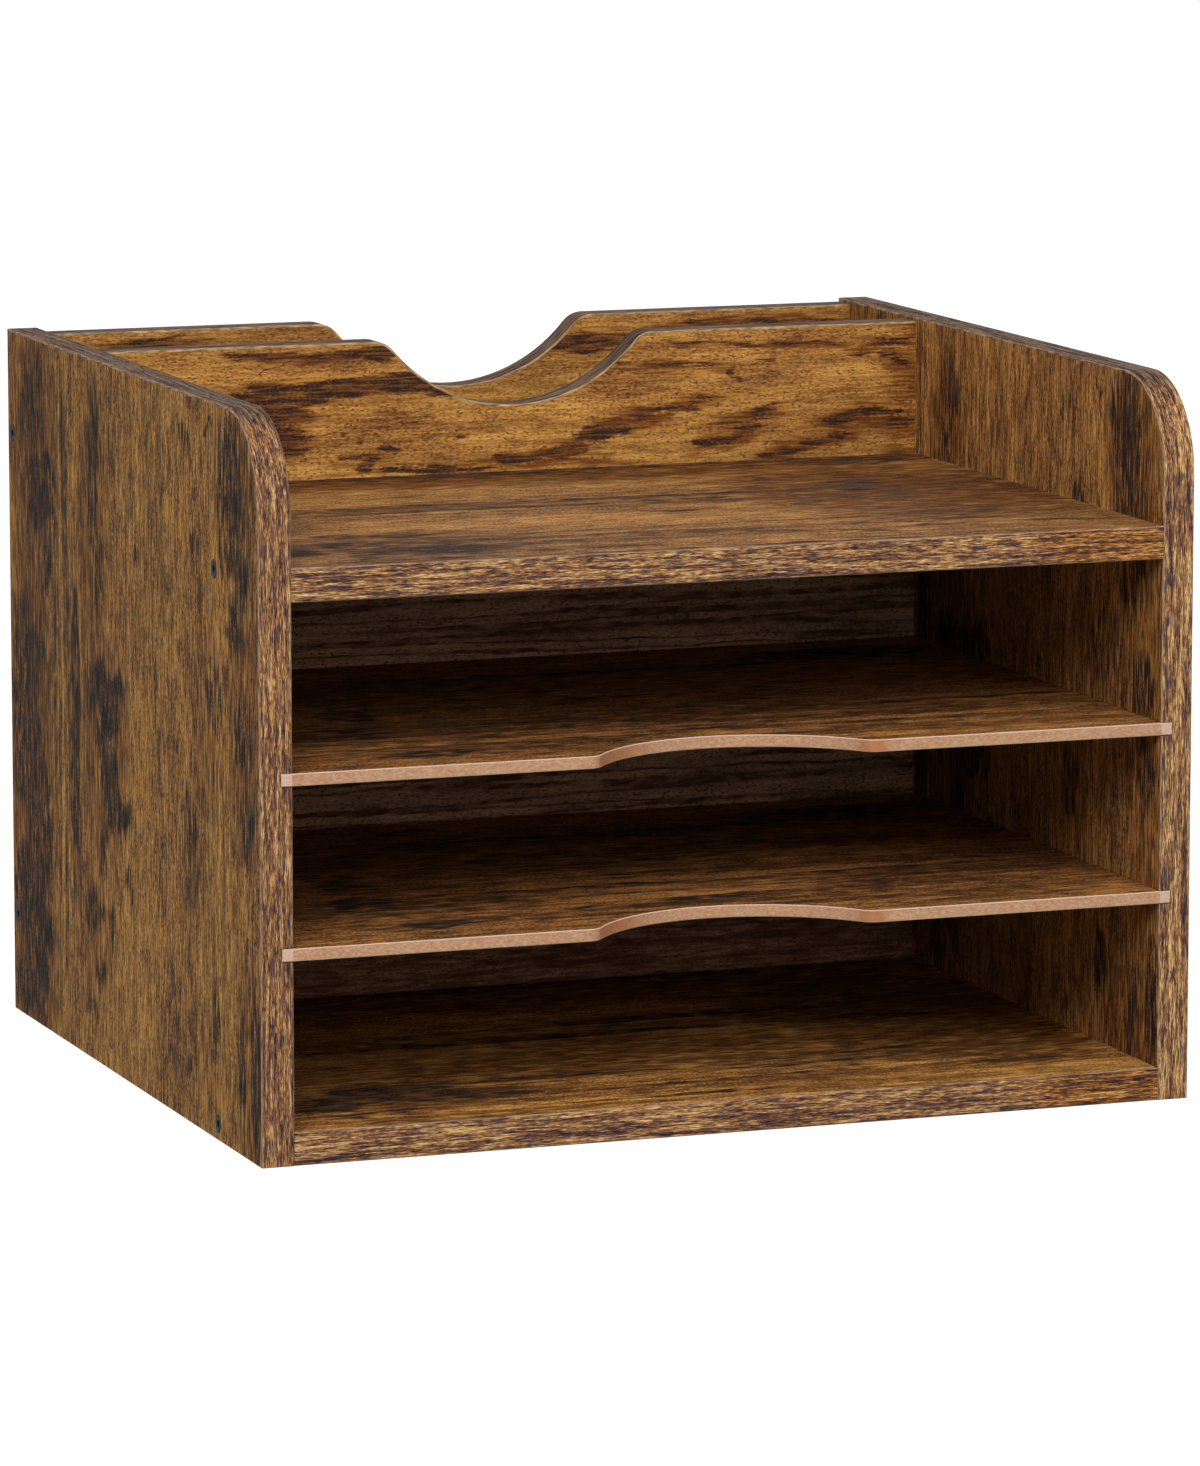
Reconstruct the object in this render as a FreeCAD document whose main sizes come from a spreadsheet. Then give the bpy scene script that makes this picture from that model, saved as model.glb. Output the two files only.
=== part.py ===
import FreeCAD, Part
import math
import os
from enum import IntEnum
from types import SimpleNamespace

import Sketcher

# Document organizer: a desk-top carcass of laminated board with two removable paper shelves.
# The front faces -Y and +Z is up. The origin lies on the desk, under the organizer's middle.
# All lengths are in millimetres.

Vector = FreeCAD.Vector

# Driving dimensions, one per cell of the sheet
SIZES = {
    # Boards and the spaces between them
    "board_thickness": 12.0,
    "inner_width": 331.0,
    "tray_depth": 235.0,
    "file_slot_width": 56.5,
    "lower_tray_clear": 61.0,
    "middle_tray_clear": 57.5,
    "upper_tray_clear": 60.0,
    "top_wall_height": 53.0,
    "back_drop": 1.5,
    "side_corner_radius": 35.0,
    # Edge banding
    "band_thickness": 0.8,
    "band_chamfer": 0.4,
    # Hand scoop in the top of the divider and of the rear panel
    "scoop_depth": 26.0,
    "scoop_radius": 64.0,
    "scoop_shoulder_radius": 10.0,
    # Removable shelves and their grooves
    "shelf_thickness": 4.5,
    "shelf_chamfer": 0.3,
    "groove_depth": 4.4,
    "groove_clearance": 0.2,
    "shelf_end_clearance": 0.3,
    "shelf_rear_clearance": 0.5,
    "notch_depth": 28.5,
    "notch_radius": 61.0,
    "notch_shoulder_radius": 6.0,
    # Countersunk screws with a hexagon socket
    "screw_diameter": 4.0,
    "screw_length": 38.0,
    "screw_head_diameter": 7.0,
    "screw_head_height": 1.5,
    "screw_point_length": 3.0,
    "socket_across_flats": 2.5,
    "socket_depth": 1.6,
    "screw_setback": 51.5,
    "rear_screw_margin": 38.0,
    # Wooden dowels
    "dowel_diameter": 6.0,
    "dowel_length": 24.0,
    "dowel_cover": 4.0,
    "dowel_setback": 51.0,
    "divider_dowel_margin": 40.0,
    # Room round a screw or a dowel in its hole, and past its end
    "hole_clearance": 0.1,
    "hole_end_clearance": 0.3,
}

# How close a point has to lie to a face to count as on it
ON_FACE = 0.001


class Axis(IntEnum):
    """Reference numbers of a sketch's own axes."""

    HORIZONTAL = -1
    VERTICAL = -2


class Spot(IntEnum):
    """Reference numbers of the points of a sketch's edge."""

    START = 1
    END = 2
    CENTRE = 3


ORIGIN_POINT = (Axis.HORIZONTAL, Spot.START)

document = FreeCAD.newDocument("document_organizer")
sheet = document.addObject("Spreadsheet::Sheet", "sizes")
for row, (alias, number) in enumerate(SIZES.items(), start=1):
    sheet.set(f"A{row}", alias)
    sheet.set(f"B{row}", str(number))
    sheet.setAlias(f"B{row}", alias)
document.recompute()


class Formula:
    """A length worked out from the sheet's cells, as text that a property can be bound to."""

    def __init__(self, text):
        self.text = text

    def __str__(self):
        return self.text

    def __add__(self, other):
        return Formula(f"({self} + {other})")

    def __sub__(self, other):
        return Formula(f"({self} - {other})")

    def __mul__(self, other):
        return Formula(f"({self} * {other})")

    def __truediv__(self, other):
        return Formula(f"({self} / {other})")

    def __neg__(self):
        return Formula(f"(0 - {self})")

    @property
    def value(self):
        """The length as a number, with the sheet's present sizes."""
        return float(sheet.evalExpression(self.text))


size = SimpleNamespace(**{alias: Formula(f"sizes.{alias}") for alias in SIZES})
nought = Formula("0")

# Places that follow from the sizes, counted from the front plane, the middle and the desk
half_width = size.inner_width / 2
lower_shelf_level = size.board_thickness + size.lower_tray_clear
shelf_pitch = size.shelf_thickness + size.middle_tray_clear
upper_shelf_level = lower_shelf_level + shelf_pitch
deck_level = upper_shelf_level + size.shelf_thickness + size.upper_tray_clear
deck_top = deck_level + size.board_thickness
side_top = deck_top + size.top_wall_height
back_top = side_top - size.back_drop
slot_front = size.tray_depth + size.board_thickness
slot_back = slot_front + size.file_slot_width
depth = slot_back + size.board_thickness
front_plane = -(depth / 2)
left_outer_face = -(half_width + size.board_thickness)
mid_board = size.board_thickness / 2

# Where the screws and the dowels cross from a side panel into the boards, as depth and height
bottom_dowel_depth = slot_back - size.dowel_setback
deck_dowel_depth = size.tray_depth - size.dowel_setback
rear_screws = [
    (slot_back + mid_board, size.rear_screw_margin),
    (slot_back + mid_board, back_top - size.rear_screw_margin),
]
divider_dowels = [
    (size.tray_depth + mid_board, size.board_thickness + size.divider_dowel_margin),
    (size.tray_depth + mid_board, back_top - size.divider_dowel_margin),
]
screw_places = rear_screws + [
    (size.screw_setback, mid_board),
    (size.screw_setback, deck_level + mid_board),
]
dowel_places = divider_dowels + [
    (bottom_dowel_depth, mid_board),
    (deck_dowel_depth, deck_level + mid_board),
]
screw_hole = size.screw_diameter + size.hole_clearance * 2
screw_hole_depth = size.screw_length - size.board_thickness + size.hole_end_clearance
dowel_hole = size.dowel_diameter + size.hole_clearance * 2
dowel_in_side = size.board_thickness - size.dowel_cover
dowel_hole_depth = size.dowel_length - dowel_in_side + size.hole_end_clearance


def new_body(label, x=nought, z=nought):
    """Start a piece whose own origin lies in the front plane, at the given x and height."""
    body = document.addObject("PartDesign::Body", label)
    body.Label = label
    body.setExpression("Placement.Base.x", str(x))
    body.setExpression("Placement.Base.y", str(front_plane))
    body.setExpression("Placement.Base.z", str(z))
    return body


def origin_plane(body, role):
    """Find one of a body's own origin planes."""
    return next(feature for feature in body.Origin.OriginFeatures if feature.Role == role)


def new_sketch(body, name, role, offset=nought):
    """Start a sketch on an origin plane, moved along that plane's normal."""
    sketch = body.newObject("Sketcher::SketchObject", f"{body.Name}_{name}")
    sketch.AttachmentSupport = [(origin_plane(body, role), "")]
    sketch.MapMode = "FlatFace"
    sketch.setExpression("AttachmentOffset.Base.z", str(offset))
    return sketch


def constrain(sketch, kind, *references):
    """Add a constraint that has no dimension."""
    sketch.addConstraint(Sketcher.Constraint(kind, *references))


def dimension(sketch, kind, *references, length):
    """Add a dimension and bind it to the sheet."""
    row = sketch.addConstraint(Sketcher.Constraint(kind, *references, length.value))
    sketch.setExpression(f"Constraints[{row}]", str(length))


def pin(sketch, edge, end, place):
    """Hold a point of an edge at a place given by two formulas."""
    across, along = place
    if across is nought:
        constrain(sketch, "PointOnObject", edge, end, Axis.VERTICAL)
    else:
        dimension(sketch, "DistanceX", *ORIGIN_POINT, edge, end, length=across)
    if along is nought:
        constrain(sketch, "PointOnObject", edge, end, Axis.HORIZONTAL)
    else:
        dimension(sketch, "DistanceY", *ORIGIN_POINT, edge, end, length=along)


def sketch_point(place):
    """Turn two formulas into a point of the sketch plane."""
    across, along = place
    return Vector(across.value, along.value, 0)


def add_line(sketch, start, end):
    """Draw a straight edge between two places."""
    return sketch.addGeometry(Part.LineSegment(sketch_point(start), sketch_point(end)))


def polygon(sketch, corners):
    """Draw a closed outline with straight edges and a pinned corner at each place."""
    ends = corners[1:] + corners[:1]
    edges = [add_line(sketch, start, end) for start, end in zip(corners, ends)]
    for edge, following, corner in zip(edges, edges[1:] + edges[:1], ends):
        constrain(sketch, "Coincident", edge, Spot.END, following, Spot.START)
        pin(sketch, following, Spot.START, corner)


def rectangle(sketch, low, high):
    """Draw a rectangle between two opposite corners."""
    polygon(sketch, [low, (high[0], low[1]), high, (low[0], high[1])])


def circle(sketch, centre, diameter):
    """Draw a circle with a pinned centre."""
    edge = sketch.addGeometry(Part.Circle(sketch_point(centre), Vector(0, 0, 1), diameter.value / 2))
    pin(sketch, edge, Spot.CENTRE, centre)
    dimension(sketch, "Diameter", edge, length=diameter)


def chain(sketch, first, corners, last):
    """Join two free ends by straight edges through pinned corners."""
    position = {Spot.START: "StartPoint", Spot.END: "EndPoint"}
    begin = getattr(sketch.Geometry[first[0]], position[first[1]])
    finish = getattr(sketch.Geometry[last[0]], position[last[1]])
    points = [begin] + [sketch_point(corner) for corner in corners] + [finish]
    joint = first
    for number, (start, end) in enumerate(zip(points, points[1:])):
        edge = sketch.addGeometry(Part.LineSegment(start, end))
        constrain(sketch, "Coincident", *joint, edge, Spot.START)
        if number < len(corners):
            pin(sketch, edge, Spot.END, corners[number])
        joint = (edge, Spot.END)
    constrain(sketch, "Coincident", *joint, *last)


class Hollow:
    """A board's edge with a wide hand hollow in its middle and a rounded shoulder at each side.

    The edge runs from left to right. facing is 1 where it looks along the sketch's upright and
    -1 where it looks the other way. inset moves the whole edge into the board, as under banding.
    """

    def __init__(self, sketch, reach, level, facing, sizes, inset=nought):
        deep, radius, shoulder = sizes
        self.sketch = sketch
        self.facing = facing
        flat_level = level - inset * facing
        dip_centre = level + (radius - deep) * facing
        both = (radius + shoulder).value
        lean = math.acos((radius - deep + shoulder).value / both)
        swing = both * math.sin(lean)
        shoulder_centre = (level - shoulder * facing).value

        left_turn = self.arc((-swing, shoulder_centre), shoulder - inset, math.pi / 2 - lean, math.pi / 2)
        dip = self.arc((0, dip_centre.value), radius + inset, 1.5 * math.pi - lean, 1.5 * math.pi + lean)
        right_turn = self.arc((swing, shoulder_centre), shoulder - inset, math.pi / 2, math.pi / 2 + lean)
        left_flat = self.flat(-reach.value, -swing, flat_level)
        right_flat = self.flat(swing, reach.value, flat_level)

        first, second = (Spot.START, Spot.END) if facing > 0 else (Spot.END, Spot.START)
        constrain(sketch, "Tangent", left_flat, Spot.END, left_turn, second)
        constrain(sketch, "Tangent", left_turn, first, dip, first)
        constrain(sketch, "Tangent", dip, second, right_turn, second)
        constrain(sketch, "Tangent", right_turn, first, right_flat, Spot.START)
        pin(sketch, left_flat, Spot.START, (-reach, flat_level))
        pin(sketch, right_flat, Spot.END, (reach, flat_level))
        pin(sketch, dip, Spot.CENTRE, (nought, dip_centre))
        self.left_end = (left_flat, Spot.START)
        self.right_end = (right_flat, Spot.END)

    def arc(self, centre, radius, start_angle, end_angle):
        """Draw one arc of the edge, turned over where the edge faces the other way."""
        if self.facing < 0:
            start_angle, end_angle = -end_angle, -start_angle
        ring = Part.Circle(Vector(*centre, 0), Vector(0, 0, 1), radius.value)
        edge = self.sketch.addGeometry(Part.ArcOfCircle(ring, start_angle, end_angle))
        dimension(self.sketch, "Radius", edge, length=radius)
        return edge

    def flat(self, start, end, level):
        """Draw one straight, level stretch of the edge."""
        straight = Part.LineSegment(Vector(start, level.value, 0), Vector(end, level.value, 0))
        edge = self.sketch.addGeometry(straight)
        constrain(self.sketch, "Horizontal", edge)
        return edge


def pad(body, sketch, length, backwards=False):
    """Raise a solid from a sketch."""
    feature = body.newObject("PartDesign::Pad", f"{sketch.Name}_pad")
    feature.Profile = sketch
    feature.Reversed = backwards
    feature.setExpression("Length", str(length))
    document.recompute()
    return feature


def pocket(body, sketch, length, backwards=False):
    """Cut a recess from a sketch."""
    feature = body.newObject("PartDesign::Pocket", f"{sketch.Name}_pocket")
    feature.Profile = sketch
    feature.Reversed = backwards
    feature.setExpression("Length", str(length))
    document.recompute()
    return feature


def dress(body, kind, name, wanted, parameter, length):
    """Chamfer or fillet the edges of a body that a test picks out by their middle point."""
    base = body.Tip
    picked = []
    for number, edge in enumerate(base.Shape.Edges, start=1):
        middle = edge.valueAt((edge.FirstParameter + edge.LastParameter) / 2)
        if wanted(middle, edge):
            picked.append(f"Edge{number}")
    feature = body.newObject(f"PartDesign::{kind}", f"{body.Name}_{name}")
    feature.Base = (base, picked)
    feature.setExpression(parameter, str(length))
    document.recompute()
    return feature


def chamfer(body, name, wanted, length):
    """Break the picked edges with a small flat."""
    return dress(body, "Chamfer", name, wanted, "Size", length)


def fillet(body, name, wanted, radius):
    """Round the picked edges."""
    return dress(body, "Fillet", name, wanted, "Radius", radius)


def near(first, second):
    """Tell whether two numbers are the same place."""
    return abs(first - second) < ON_FACE


def drill(body, name, offset, places, diameter, length, towards_right, countersink=None):
    """Drill round holes along X from a plane at the given offset."""
    sketch = new_sketch(body, f"{name}_centres", "YZ_Plane", offset)
    for place in places:
        circle(sketch, place, diameter)
    document.recompute()
    hole = body.newObject("PartDesign::Hole", f"{body.Name}_{name}")
    hole.Profile = sketch
    document.recompute()
    hole.Threaded = False
    hole.DrillPoint = "Flat"
    hole.DepthType = "Dimension"
    hole.Reversed = towards_right
    hole.setExpression("Diameter", str(diameter))
    hole.setExpression("Depth", str(length))
    if countersink is not None:
        mouth, height = countersink
        hole.HoleCutType = "Countersink"
        hole.HoleCutCustomValues = True
        hole.setExpression("HoleCutDiameter", str(mouth))
        slope = (mouth - diameter) / 2 / height
        hole.setExpression("HoleCutCountersinkAngle", f"2 * atan({slope})")
    document.recompute()
    return hole


def mirror_ends(body, features):
    """Repeat features made at a board's left end at its right end."""
    feature = body.newObject("PartDesign::Mirrored", f"{body.Name}_right_end")
    feature.Originals = features
    feature.MirrorPlane = (origin_plane(body, "YZ_Plane"), [""])
    body.Tip = feature
    document.recompute()


def mirrored_piece(label, source):
    """Make the right-hand piece as the mirror image of the left-hand one."""
    piece = document.addObject("Part::Mirroring", label)
    piece.Label = label
    piece.Source = source
    piece.Normal = Vector(1, 0, 0)
    document.recompute()
    return piece


def cut_shelf_grooves(body):
    """Cut the two shelf grooves into a left-hand piece, from its front edge to the divider."""
    sketch = new_sketch(body, "groove", "YZ_Plane", size.board_thickness)
    low = lower_shelf_level - size.groove_clearance
    high = lower_shelf_level + size.shelf_thickness + size.groove_clearance
    rectangle(sketch, (-size.band_thickness, low), (size.tray_depth, high))
    groove = pocket(body, sketch, size.groove_depth)
    pattern = body.newObject("PartDesign::LinearPattern", f"{body.Name}_grooves")
    pattern.Originals = [groove]
    pattern.Direction = (sketch, ["V_Axis"])
    pattern.setExpression("Length", str(shelf_pitch))
    pattern.Occurrences = 2
    body.Tip = pattern
    document.recompute()


def left_side_panel():
    """Board with a rounded top front corner, shelf grooves, screw holes and dowel holes."""
    body = new_body("left_side_panel", x=left_outer_face)
    outline = new_sketch(body, "outline", "YZ_Plane")
    front = size.band_thickness
    back = depth - size.band_thickness
    top = side_top - size.band_thickness
    rectangle(outline, (front, nought), (back, top))
    pad(body, outline, size.board_thickness)

    def top_front_edge(middle, edge):
        return near(middle.y, front.value) and near(middle.z, top.value)

    fillet(body, "corner", top_front_edge, size.side_corner_radius - size.band_thickness)
    cut_shelf_grooves(body)
    mouth = size.screw_head_diameter + size.hole_clearance * 2
    sink = (mouth, size.screw_head_height)
    drill(body, "screws", nought, screw_places, screw_hole, size.board_thickness, True, sink)
    dowel_room = dowel_in_side + size.hole_end_clearance
    drill(body, "dowels", size.board_thickness, dowel_places, dowel_hole, dowel_room, False)
    return body


def left_front_band():
    """Banding up the front edge, round the corner and back along the top edge of the left side."""
    body = new_body("left_front_band", x=left_outer_face)
    outline = new_sketch(body, "outline", "YZ_Plane")
    inner_front = size.band_thickness
    inner_top = side_top - size.band_thickness
    corners = [
        (nought, nought),
        (inner_front, nought),
        (inner_front, inner_top),
        (depth, inner_top),
        (depth, side_top),
        (nought, side_top),
    ]
    polygon(outline, corners)
    pad(body, outline, size.board_thickness)

    def outer_corner(middle, edge):
        return near(middle.y, 0) and near(middle.z, side_top.value)

    def inner_corner(middle, edge):
        return near(middle.y, inner_front.value) and near(middle.z, inner_top.value)

    fillet(body, "outer_corner", outer_corner, size.side_corner_radius)
    fillet(body, "inner_corner", inner_corner, size.side_corner_radius - size.band_thickness)

    turn = size.side_corner_radius.value
    turn_height = side_top.value - turn

    def outer_arris(middle, edge):
        on_face = near(middle.x, 0) or near(middle.x, size.board_thickness.value)
        on_turn = near(math.hypot(middle.y - turn, middle.z - turn_height), turn)
        on_line = near(middle.y, 0) or near(middle.z, side_top.value)
        return on_face and (on_line or on_turn)

    chamfer(body, "arris", outer_arris, size.band_chamfer)
    cut_shelf_grooves(body)
    return body


def left_rear_band():
    """Banding down the rear edge of the left side, under the end of the top banding."""
    body = new_body("left_rear_band", x=left_outer_face)
    outline = new_sketch(body, "outline", "XY_Plane")
    top = side_top - size.band_thickness
    rectangle(outline, (nought, depth - size.band_thickness), (size.board_thickness, depth))
    pad(body, outline, top)

    def rear_upright(middle, edge):
        return near(middle.y, depth.value) and near(middle.z, top.value / 2)

    chamfer(body, "arris", rear_upright, size.band_chamfer)
    return body


def cross_board(label, level, back, dowel_depth):
    """Level board between the sides, with a screw and a dowel at each end."""
    body = new_body(label, z=level)
    outline = new_sketch(body, "outline", "XY_Plane")
    rectangle(outline, (-half_width, size.band_thickness), (half_width, back))
    pad(body, outline, size.board_thickness)
    screws = [(size.screw_setback, mid_board)]
    dowels = [(dowel_depth, mid_board)]
    pilot = drill(body, "screws", -half_width, screws, screw_hole, screw_hole_depth, True)
    socket = drill(body, "dowels", -half_width, dowels, dowel_hole, dowel_hole_depth, True)
    mirror_ends(body, [pilot, socket])
    return body


def front_band(label, level):
    """Banding along the front edge of a level board."""
    body = new_body(label, z=level)
    outline = new_sketch(body, "outline", "XY_Plane")
    rectangle(outline, (-half_width, nought), (half_width, size.band_thickness))
    pad(body, outline, size.board_thickness)

    def front_arris(middle, edge):
        return near(middle.x, 0) and near(middle.y, 0)

    chamfer(body, "arris", front_arris, size.band_chamfer)
    return body


def scooped_board(label, front, foot):
    """Upright board between the sides with a hand scoop in its top edge, under its banding."""
    body = new_body(label)
    outline = new_sketch(body, "outline", "XZ_Plane", -front)
    scoop = (size.scoop_depth, size.scoop_radius, size.scoop_shoulder_radius)
    edge = Hollow(outline, half_width, back_top, 1, scoop, size.band_thickness)
    chain(outline, edge.left_end, [(-half_width, foot), (half_width, foot)], edge.right_end)
    pad(body, outline, size.board_thickness, backwards=True)
    return body


def divider_board():
    """Board that closes the trays at the back and fronts the file slot, held by dowels."""
    body = scooped_board("file_divider", size.tray_depth, size.board_thickness)
    socket = drill(body, "dowels", -half_width, divider_dowels, dowel_hole, dowel_hole_depth, True)
    mirror_ends(body, [socket])
    return body


def rear_board():
    """Board that closes the organizer at the rear, down to the desk, held by screws."""
    body = scooped_board("rear_panel", slot_back, nought)
    pilot = drill(body, "screws", -half_width, rear_screws, screw_hole, screw_hole_depth, True)
    mirror_ends(body, [pilot])
    return body


def scoop_band(label, front):
    """Banding along the top edge of a scooped board, down through the scoop and up again."""
    body = new_body(label)
    outline = new_sketch(body, "outline", "XZ_Plane", -front)
    scoop = (size.scoop_depth, size.scoop_radius, size.scoop_shoulder_radius)
    upper = Hollow(outline, half_width, back_top, 1, scoop)
    lower = Hollow(outline, half_width, back_top, 1, scoop, size.band_thickness)
    chain(outline, upper.left_end, [], lower.left_end)
    chain(outline, upper.right_end, [], lower.right_end)
    pad(body, outline, size.board_thickness, backwards=True)

    dip_centre = (back_top - size.scoop_depth + size.scoop_radius).value
    shoulder_level = (back_top - size.scoop_shoulder_radius).value
    both = (size.scoop_radius + size.scoop_shoulder_radius).value
    swing = math.sqrt(both ** 2 - (dip_centre - shoulder_level) ** 2)

    def upper_arris(middle, edge):
        on_flat = near(middle.z, back_top.value)
        on_dip = near(math.hypot(middle.x, middle.z - dip_centre), size.scoop_radius.value)
        from_shoulder = math.hypot(abs(middle.x) - swing, middle.z - shoulder_level)
        on_shoulder = near(from_shoulder, size.scoop_shoulder_radius.value)
        on_face = near(middle.y, front.value) or near(middle.y, (front + size.board_thickness).value)
        return on_face and (on_flat or on_dip or on_shoulder)

    chamfer(body, "arris", upper_arris, size.band_chamfer)
    return body


def shelf(label, level):
    """Thin sliding shelf with a finger notch in its front edge and its ends in the grooves."""
    body = new_body(label, z=level)
    outline = new_sketch(body, "outline", "XY_Plane")
    reach = half_width + size.groove_depth - size.shelf_end_clearance
    back = size.tray_depth - size.shelf_rear_clearance
    notch = (size.notch_depth, size.notch_radius, size.notch_shoulder_radius)
    edge = Hollow(outline, reach, nought, -1, notch)
    chain(outline, edge.left_end, [(-reach, back), (reach, back)], edge.right_end)
    pad(body, outline, size.shelf_thickness)

    def front_arris(middle, edge):
        ends = [vertex.Point for vertex in edge.Vertexes]
        level_edge = near(ends[0].z, ends[1].z)
        at_front = abs(middle.x) < reach.value - ON_FACE and middle.y < size.notch_depth.value + ON_FACE
        return level_edge and at_front

    chamfer(body, "arris", front_arris, size.shelf_chamfer)
    return body


def hexagon(sketch, across_flats):
    """Draw a regular hexagon round the sketch's origin, with a corner on the horizontal axis."""
    corner_radius = across_flats / "sqrt(3)"
    sides = 6
    turns = [2 * math.pi * number / sides for number in range(sides + 1)]
    points = [Vector(math.cos(turn), math.sin(turn), 0) * corner_radius.value for turn in turns]
    edges = [sketch.addGeometry(Part.LineSegment(*ends)) for ends in zip(points, points[1:])]
    ring = sketch.addGeometry(Part.Circle(Vector(0, 0, 0), Vector(0, 0, 1), corner_radius.value), True)
    constrain(sketch, "Coincident", ring, Spot.CENTRE, *ORIGIN_POINT)
    dimension(sketch, "Radius", ring, length=corner_radius)
    constrain(sketch, "PointOnObject", edges[0], Spot.START, Axis.HORIZONTAL)
    for edge, following in zip(edges, edges[1:] + edges[:1]):
        constrain(sketch, "Coincident", edge, Spot.END, following, Spot.START)
        constrain(sketch, "PointOnObject", edge, Spot.START, ring)
    for edge in edges[1:]:
        constrain(sketch, "Equal", edges[0], edge)


def screw():
    """Countersunk screw along +X, with the face of its head at the origin."""
    body = document.addObject("PartDesign::Body", "screw")
    profile = new_sketch(body, "profile", "XY_Plane")
    head_radius = size.screw_head_diameter / 2
    shank_radius = size.screw_diameter / 2
    corners = [
        (nought, nought),
        (size.screw_length, nought),
        (size.screw_length - size.screw_point_length, shank_radius),
        (size.screw_head_height, shank_radius),
        (nought, head_radius),
    ]
    polygon(profile, corners)
    turned = body.newObject("PartDesign::Revolution", "screw_turned")
    turned.Profile = profile
    turned.ReferenceAxis = (profile, ["H_Axis"])
    document.recompute()
    socket = new_sketch(body, "socket", "YZ_Plane")
    hexagon(socket, size.socket_across_flats)
    pocket(body, socket, size.socket_depth, backwards=True)
    return body


def dowel():
    """Plain wooden dowel along +X."""
    body = document.addObject("PartDesign::Body", "dowel")
    section = new_sketch(body, "section", "YZ_Plane")
    circle(section, (nought, nought), size.dowel_diameter)
    pad(body, section, size.dowel_length)
    return body


def fasteners(label, pattern, x, places):
    """Set copies of one fastener along X at each place of the left side."""
    copies = []
    for across, height in places:
        copy = document.addObject("App::Link", f"{label}_copy")
        copy.LinkedObject = pattern
        copy.setExpression("Placement.Base.x", str(x))
        copy.setExpression("Placement.Base.y", str(front_plane + across))
        copy.setExpression("Placement.Base.z", str(height))
        copies.append(copy)
    group = document.addObject("Part::Compound", label)
    group.Label = label
    group.Links = copies
    document.recompute()
    return group


def build():
    """Model every piece of the organizer and return the pieces by name."""
    lefts = [
        left_side_panel(),
        left_front_band(),
        left_rear_band(),
        fasteners("left_screws", screw(), left_outer_face, screw_places),
        fasteners("left_dowels", dowel(), -(half_width + dowel_in_side), dowel_places),
    ]
    rights = [mirrored_piece(piece.Label.replace("left", "right"), piece) for piece in lefts]
    between = [
        cross_board("bottom_panel", nought, slot_back, bottom_dowel_depth),
        front_band("bottom_band", nought),
        cross_board("deck_panel", deck_level, size.tray_depth, deck_dowel_depth),
        front_band("deck_band", deck_level),
        divider_board(),
        scoop_band("divider_band", size.tray_depth),
        rear_board(),
        scoop_band("rear_band", slot_back),
        shelf("lower_shelf", lower_shelf_level),
        shelf("upper_shelf", upper_shelf_level),
    ]
    return {piece.Label: piece for piece in lefts + rights + between}


def check(pieces):
    """Stop if a feature failed, a cut removed nothing or a piece is not a sound solid."""
    for item in document.Objects:
        if "Invalid" in item.State or "Error" in item.State:
            raise RuntimeError(f"{item.Label} failed to compute")
        if item.TypeId in ("PartDesign::Pocket", "PartDesign::Hole"):
            if item.Shape.Volume >= item.BaseFeature.Shape.Volume - ON_FACE:
                raise RuntimeError(f"{item.Label} removed nothing")
    for label, piece in pieces.items():
        if piece.Shape.isNull() or not piece.Shape.isValid():
            raise RuntimeError(f"{label} has no valid shape")


def write(pieces):
    """Write each piece to a file of its own."""
    os.makedirs("parts", exist_ok=True)
    for label, piece in pieces.items():
        piece.Shape.exportStep(f"parts/{label}.step")


organizer = build()
document.recompute()
check(organizer)
write(organizer)
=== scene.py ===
"""Looks of a rustic document organizer: printed boards, edge banding, raw shelf edges, black screws."""
import logging
import math
from dataclasses import dataclass, replace
from enum import Enum, IntEnum
from typing import Any, Optional, Union

import bpy
from mathutils import Matrix, Vector


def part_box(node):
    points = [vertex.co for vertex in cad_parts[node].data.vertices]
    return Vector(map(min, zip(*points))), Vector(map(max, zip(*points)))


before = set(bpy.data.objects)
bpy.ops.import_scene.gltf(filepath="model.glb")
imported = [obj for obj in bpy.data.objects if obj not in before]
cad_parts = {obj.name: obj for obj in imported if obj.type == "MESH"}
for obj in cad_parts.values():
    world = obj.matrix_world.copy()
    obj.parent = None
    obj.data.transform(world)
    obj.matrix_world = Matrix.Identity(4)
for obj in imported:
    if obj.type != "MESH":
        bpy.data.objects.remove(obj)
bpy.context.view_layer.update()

log = logging.getLogger("document_organizer")

MM = 0.001
NOISE_SWING = 2.5

Colour = tuple[float, float, float, float]
Triple = tuple[float, float, float]

RIGHT: Triple = (1.0, 0.0, 0.0)
REAR: Triple = (0.0, 1.0, 0.0)
UP: Triple = (0.0, 0.0, 1.0)


def paint(red: int, green: int, blue: int) -> Colour:
    """Turn a colour as the eye reads it, 0 to 255, into the linear colour that a shader takes.

    Args:
        red: Red as seen.
        green: Green as seen.
        blue: Blue as seen.

    Returns:
        The linear colour with full alpha.
    """
    def linear(part: int) -> float:
        """Undo the display curve of one part."""
        share = part / 255
        return share / 12.92 if share <= 0.04045 else ((share + 0.055) / 1.055) ** 2.4

    return linear(red), linear(green), linear(blue), 1.0


class Axis(IntEnum):
    """A direction of the organizer: to the right, to the rear, or up."""

    RIGHT = 0
    REAR = 1
    UP = 2


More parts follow.
